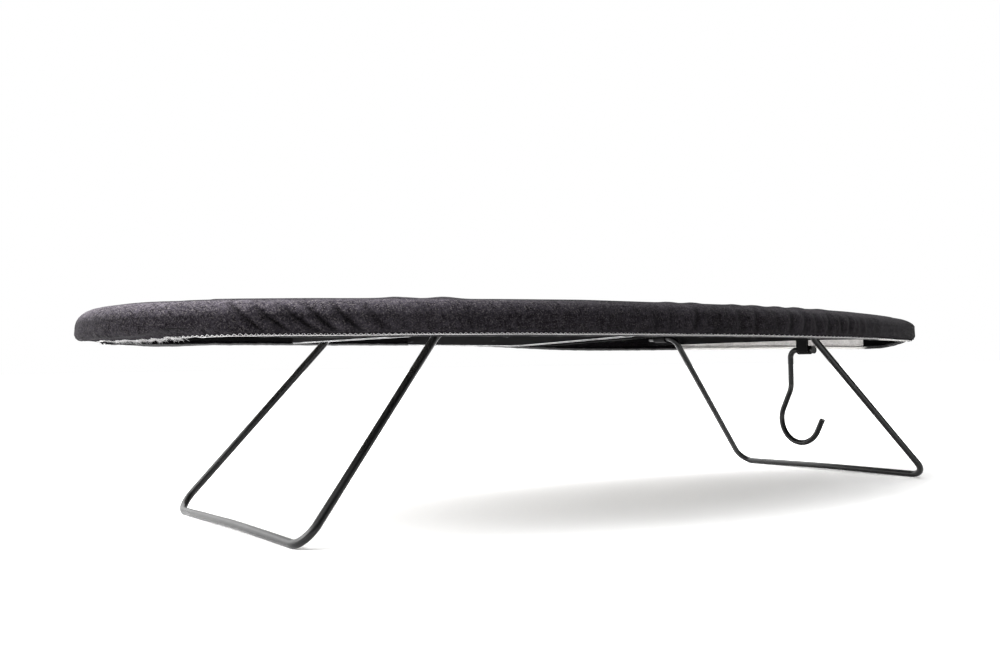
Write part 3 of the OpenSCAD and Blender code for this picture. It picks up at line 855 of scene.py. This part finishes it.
def make_wadding():
    """A needled felt pad with a rounded upper edge, a hair inside the cover."""
    points, outs, _ = outline(PAD_LOOP)
    low = DECK_TOP + 0.1 * MM
    shoulder_in, shoulder_down = shoulder(points[:, 0])
    across, rise = shoulder_in - PAD_INSIDE, shoulder_down - PAD_BELOW
    centre_z = TOP_Z - shoulder_down
    start = np.arcsin((low - centre_z) / rise)
    side = []
    for i in range(PAD_SIDE_ROWS + 1):
        a = start + (math.pi / 2 - start) * i / PAD_SIDE_ROWS
        inset, z = shoulder_in - across * np.cos(a), centre_z + rise * np.sin(a)
        side.append(np.column_stack([points - outs * inset[:, None], z]))
    below = fill_rows(side[0][:, :2], low, PAD_TOP_ROWS)[::-1]
    above = fill_rows(side[-1][:, :2], side[-1][0, 2], PAD_TOP_ROWS)
    rows = np.array(below + side + above)
    for row in rows[len(below):]:
        for p in row:
            p[2] += 0.2 * MM * noise.noise((p[0] * 40, p[1] * 40, 1.0))
    rows[:, :, 2] = flattened(rows[:, :, 0], rows[:, :, 2])
    verts, faces, _ = without_loose(rows.reshape(-1, 3), skin(rows, first_is_middle=True))
    pad = new_object("felt_wadding", verts, faces)
    set_materials(pad, WADDING)
    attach(pad, "board")
    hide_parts("wadding_pad")


# The band's lower and upper edges above the cover's edge, its thickness, and its gap to the cloth
BAND_LOW = 0.5 * MM
BAND_HIGH = 2.4 * MM
BAND_T = 0.7 * MM
BAND_GAP = 0.35 * MM


def make_elastic():
    """A narrow knitted band that lies gathered inside the cover's edge."""
    ruffle = 0.25 * MM * wobble(ALONG, 6 * MM, 40.0)
    face = CLOTH_T + BAND_GAP
    corners = [(BAND_LOW, face), (BAND_HIGH, face), (BAND_HIGH, face + BAND_T), (BAND_LOW, face + BAND_T)]
    pull = np.minimum(ruffle, 0)
    rings = [beside_edge(ALONG, np.full(LOOP, back), pull - depth) for back, depth in corners]
    verts = np.stack(rings, 1).reshape(-1, 3)
    sides = len(corners)
    band = new_object("elastic_band", verts, ring_faces(LOOP, sides, closed=True), smooth=False)
    layer = band.data.uv_layers.new(name="band")
    for loop in band.data.loops:
        k, c = divmod(loop.vertex_index, sides)
        layer.data[loop.index].uv = (k * STEP, corners[c][0])
    set_materials(band, ELASTIC)
    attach(band, "board")
    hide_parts("hem_elastic")
    return band


MESH_LONG = 20 * MM
MESH_SHORT = 10.4 * MM
STRAND_W = 1.7 * MM
STRAND_T = 0.7 * MM
STRAND_TILT = math.radians(24)
STRAND_STEPS = 8
# The strands stop this far inside the outline. The flat strip runs between the other two.
STRAND_INSET = 4 * MM
STRIP_OUTER = 1.5 * MM
STRIP_INNER = 6.0 * MM
STRIP_LOOP = 480
STRIP_CLEAR = 0.1 * MM


def half_width(x):
    """Half width of the board's outline at X."""
    far = RIM[:HALF_LOOP + 1]
    return np.interp(x, far[::-1, 0], far[::-1, 1])


def make_mesh():
    """Expanded steel: rows of wavy tilted strands that meet at their crests, inside a flat edge strip."""
    low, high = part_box("mesh_deck")
    middle = (low[2] + high[2]) / 2
    verts, faces = [], []
    row_gap = MESH_SHORT / 2
    rows = int(HALF_W / row_gap)
    half_t = STRAND_T / 2
    half_w = STRAND_W / 2
    section = [(-half_w, -half_t), (half_w, -half_t), (half_w, half_t), (-half_w, half_t)]
    c, s = math.cos(STRAND_TILT), math.sin(STRAND_TILT)
    step = MESH_LONG / STRAND_STEPS
    for row in range(-rows, rows + 1):
        y0 = row * row_gap
        flip = 1 if row % 2 else -1
        xs = np.arange(-HALF_L, HALF_L, step)
        wave = row_gap / 2 * np.clip(1.6 * np.sin(2 * math.pi * xs / MESH_LONG), -1, 1) * flip
        inside = np.abs(y0 + wave) < half_width(xs) - STRAND_INSET
        xs, wave = xs[inside], wave[inside]
        if len(xs) < 4:
            continue
        base = len(verts)
        for x, w in zip(xs, wave):
            lean = w / row_gap * 2 * STRAND_T * 0.25
            for a, b in section:
                verts.append((x, y0 + w + a * c - b * s, middle + a * s + b * c + lean))
        for i in range(len(xs) - 1):
            for q in range(4):
                n = (q + 1) % 4
                here, there = base + i * 4, base + (i + 1) * 4
                faces.append((here + q, there + q, there + n, here + n))
        end = base + (len(xs) - 1) * 4
        faces += [(base, base + 1, base + 2, base + 3), (end + 3, end + 2, end + 1, end)]
    points, outs, _ = outline(STRIP_LOOP)
    base = len(verts)
    under, over = low[2] + STRIP_CLEAR, high[2] - STRIP_CLEAR
    strip = [(STRIP_OUTER, under), (STRIP_INNER, under), (STRIP_INNER, over), (STRIP_OUTER, over)]
    for p, o in zip(points, outs):
        for inset, z in strip:
            verts.append((*(p - o * inset), z))
    faces += ring_faces(STRIP_LOOP, len(strip), base, closed=True)
    mesh = new_object("expanded_mesh", verts, faces, smooth=False)
    set_materials(mesh, SHEET_COAT)
    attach(mesh, "board")
    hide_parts("mesh_deck")


make_wadding()
make_mesh()
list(make_stitches())
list(make_loose_fibres())
make_elastic()

# ---------------------------------------------------------------- CAD nodes: finishes
FINISHES = {
    WIRE_COAT: ["left_leg", "right_leg", "hanging_hook"],
    SHEET_COAT: [
        "rim_frame", "left_leg_rail", "centre_rail", "right_leg_rail",
        "left_near_pivot_clip", "left_far_pivot_clip", "right_near_pivot_clip", "right_far_pivot_clip",
        "hook_clip",
    ],
    RIVET_COAT: [
        "left_rail_rivets", "centre_rail_rivets", "right_rail_rivets", "clip_rivets", "hook_clip_rivets",
    ],
}
for finish, names in FINISHES.items():
    for name in names:
        set_materials(NODES[name], finish)

# The rails as the CAD has them: sheet thickness, how far the left rail's flange stops short of its
# ends, and how far the centre rail's lower edge rises beyond its flat middle
SHEET_T = 1.2 * MM
FLANGE_CUT = 26 * MM
CENTRE_RISE = 4 * MM
CENTRE_FLAT = 10 * MM
EDGE_R = 0.65 * MM
EDGE_SIDES = 10
EDGE_UP = 0.5 * MM


def rail_edge(name, path):
    """A thin bright line along a rail's lower edge: a painted highlight."""
    bead = tube(name, path, EDGE_R, EDGE_SIDES)
    set_materials(bead, EDGE_HIGHLIGHT)
    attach(bead, "board")


def make_rail_edges():
    """The painted highlights along the lower edges of the left rail and the centre rail."""
    low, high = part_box("left_leg_rail")
    x, z = low[0] + SHEET_T / 2, low[2] + EDGE_UP
    reach = high[1] - FLANGE_CUT
    rail_edge("left_rail_edge", [(x, y, z) for y in np.linspace(-reach, reach, 40)])
    low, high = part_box("centre_rail")
    x, z = low[0] + SHEET_T / 2, low[2] + EDGE_UP
    path = []
    for y in np.linspace(low[1], high[1], 60):
        rise = CENTRE_RISE * max(abs(y) - CENTRE_FLAT, 0) / (high[1] - CENTRE_FLAT)
        path.append((x, y, z + rise))
    rail_edge("centre_rail_edge", path)


make_rail_edges()

# ---------------------------------------------------------------- stage: floor, light, camera
def add_to_scene(name, data):
    obj = bpy.data.objects.new(name, data)
    bpy.context.scene.collection.objects.link(obj)
    return obj


# The camera stands near the left end, a little lower than the hem; angles in radians, lens in mm
CAMERA_AT = Vector((-513.8, -613.1, 94.0)) * MM
CAMERA_YAW = 0.6088
CAMERA_PITCH = 0.0309
CAMERA_ROLL = -0.0136
LENS = 38.79
SENSOR_W = 36


def make_camera():
    """The camera at the photograph's viewing angle."""
    data = bpy.data.cameras.new("camera")
    data.lens = LENS
    data.sensor_width = SENSOR_W
    data.clip_start = 0.01
    cam = add_to_scene("camera", data)
    yaw, pitch = CAMERA_YAW, CAMERA_PITCH
    ahead = Vector((math.sin(yaw) * math.cos(pitch), math.cos(yaw) * math.cos(pitch), math.sin(pitch)))
    right = Vector((math.cos(yaw), -math.sin(yaw), 0))
    up = right.cross(ahead)
    x_axis = right * math.cos(CAMERA_ROLL) + up * math.sin(CAMERA_ROLL)
    y_axis = -right * math.sin(CAMERA_ROLL) + up * math.cos(CAMERA_ROLL)
    turn = Matrix((x_axis, y_axis, -ahead)).transposed()
    cam.matrix_world = Matrix.Translation(CAMERA_AT) @ turn.to_4x4()
    bpy.context.scene.camera = cam


FLOOR_HALF = 40.0
FLOOR_GLOW = 0.16


def make_floor():
    """A pale floor with a faint tone, lifted a little towards white."""
    s = Shader("pale_floor", (0.9, 0.9, 0.9), 0.7, emission_color=(1, 1, 1, 1), emission_strength=FLOOR_GLOW)
    tone = s.noise(s.object_point(), 3, 2)
    color = s.mix(s.between(tone, 0.3, 0.7), (0.89, 0.89, 0.89), (0.92, 0.92, 0.92))
    corners = [(x * FLOOR_HALF, y * FLOOR_HALF, 0) for x, y in ((-1, -1), (1, -1), (1, 1), (-1, 1))]
    floor = new_object("floor", corners, [(0, 1, 2, 3)])
    set_materials(floor, s.finish(color))


# Each area light's name, place, aim, size in metres and power in watts
AREA_LIGHTS = [
    ("overhead", (-0.2, 0.8, 1.8), (-0.1, 0.1, 0.1), (2.4, 1.4), 38),
    ("back_left", (-1.6, 0.3, 0.7), (-0.25, -0.05, 0.12), (1.0, 0.8), 26),
]
SUN_POWER = 2.0
SUN_SPREAD = math.radians(80)


def area_light(name, at, toward, size, power):
    """A rectangular light that faces a point."""
    data = bpy.data.lights.new(name, "AREA")
    data.shape = "RECTANGLE"
    data.size, data.size_y = size
    data.energy = power
    lamp = add_to_scene(name, data)
    lamp.location = at
    lamp.rotation_euler = (Vector(toward) - Vector(at)).to_track_quat("-Z", "Y").to_euler()


# The studio's light comes mostly from above and behind, to the left
SKY_FROM = Vector((-0.5, 0.5, 0.71))
SKY_BRIGHT = 3.0
SKY_DIM = 0.15


def make_world():
    """White where it is seen; as a light it is bright above the back left and dim at the front right."""
    world = bpy.data.worlds.new("studio")
    world.use_nodes = True
    tree = world.node_tree
    back = tree.nodes["Background"]
    back.inputs["Color"].default_value = (1, 1, 1, 1)
    toward = tree.nodes.new("ShaderNodeVectorMath")
    toward.operation = "DOT_PRODUCT"
    toward.inputs[1].default_value = SKY_FROM
    tree.links.new(tree.nodes.new("ShaderNodeTexCoord").outputs["Generated"], toward.inputs[0])
    ramp = tree.nodes.new("ShaderNodeMapRange")
    for name, value in (("From Min", 0.0), ("From Max", 1.0), ("To Min", SKY_DIM), ("To Max", SKY_BRIGHT)):
        ramp.inputs[name].default_value = value
    tree.links.new(toward.outputs["Value"], ramp.inputs["Value"])
    seen = tree.nodes.new("ShaderNodeMix")
    tree.links.new(tree.nodes.new("ShaderNodeLightPath").outputs["Is Camera Ray"], seen.inputs[0])
    tree.links.new(ramp.outputs[0], seen.inputs[2])
    seen.inputs[3].default_value = 1.0
    tree.links.new(seen.outputs[0], back.inputs["Strength"])
    bpy.context.scene.world = world


def make_light():
    """The world, two area lights, and a wide sun from the bright side of the sky."""
    make_world()
    for light in AREA_LIGHTS:
        area_light(*light)
    data = bpy.data.lights.new("sky_glow", "SUN")
    data.energy = SUN_POWER
    data.angle = SUN_SPREAD
    lamp = add_to_scene("sky_glow", data)
    lamp.rotation_euler = (-SKY_FROM).to_track_quat("-Z", "Y").to_euler()
    bpy.context.scene.view_settings.view_transform = "Standard"


make_camera()
make_floor()
make_light()
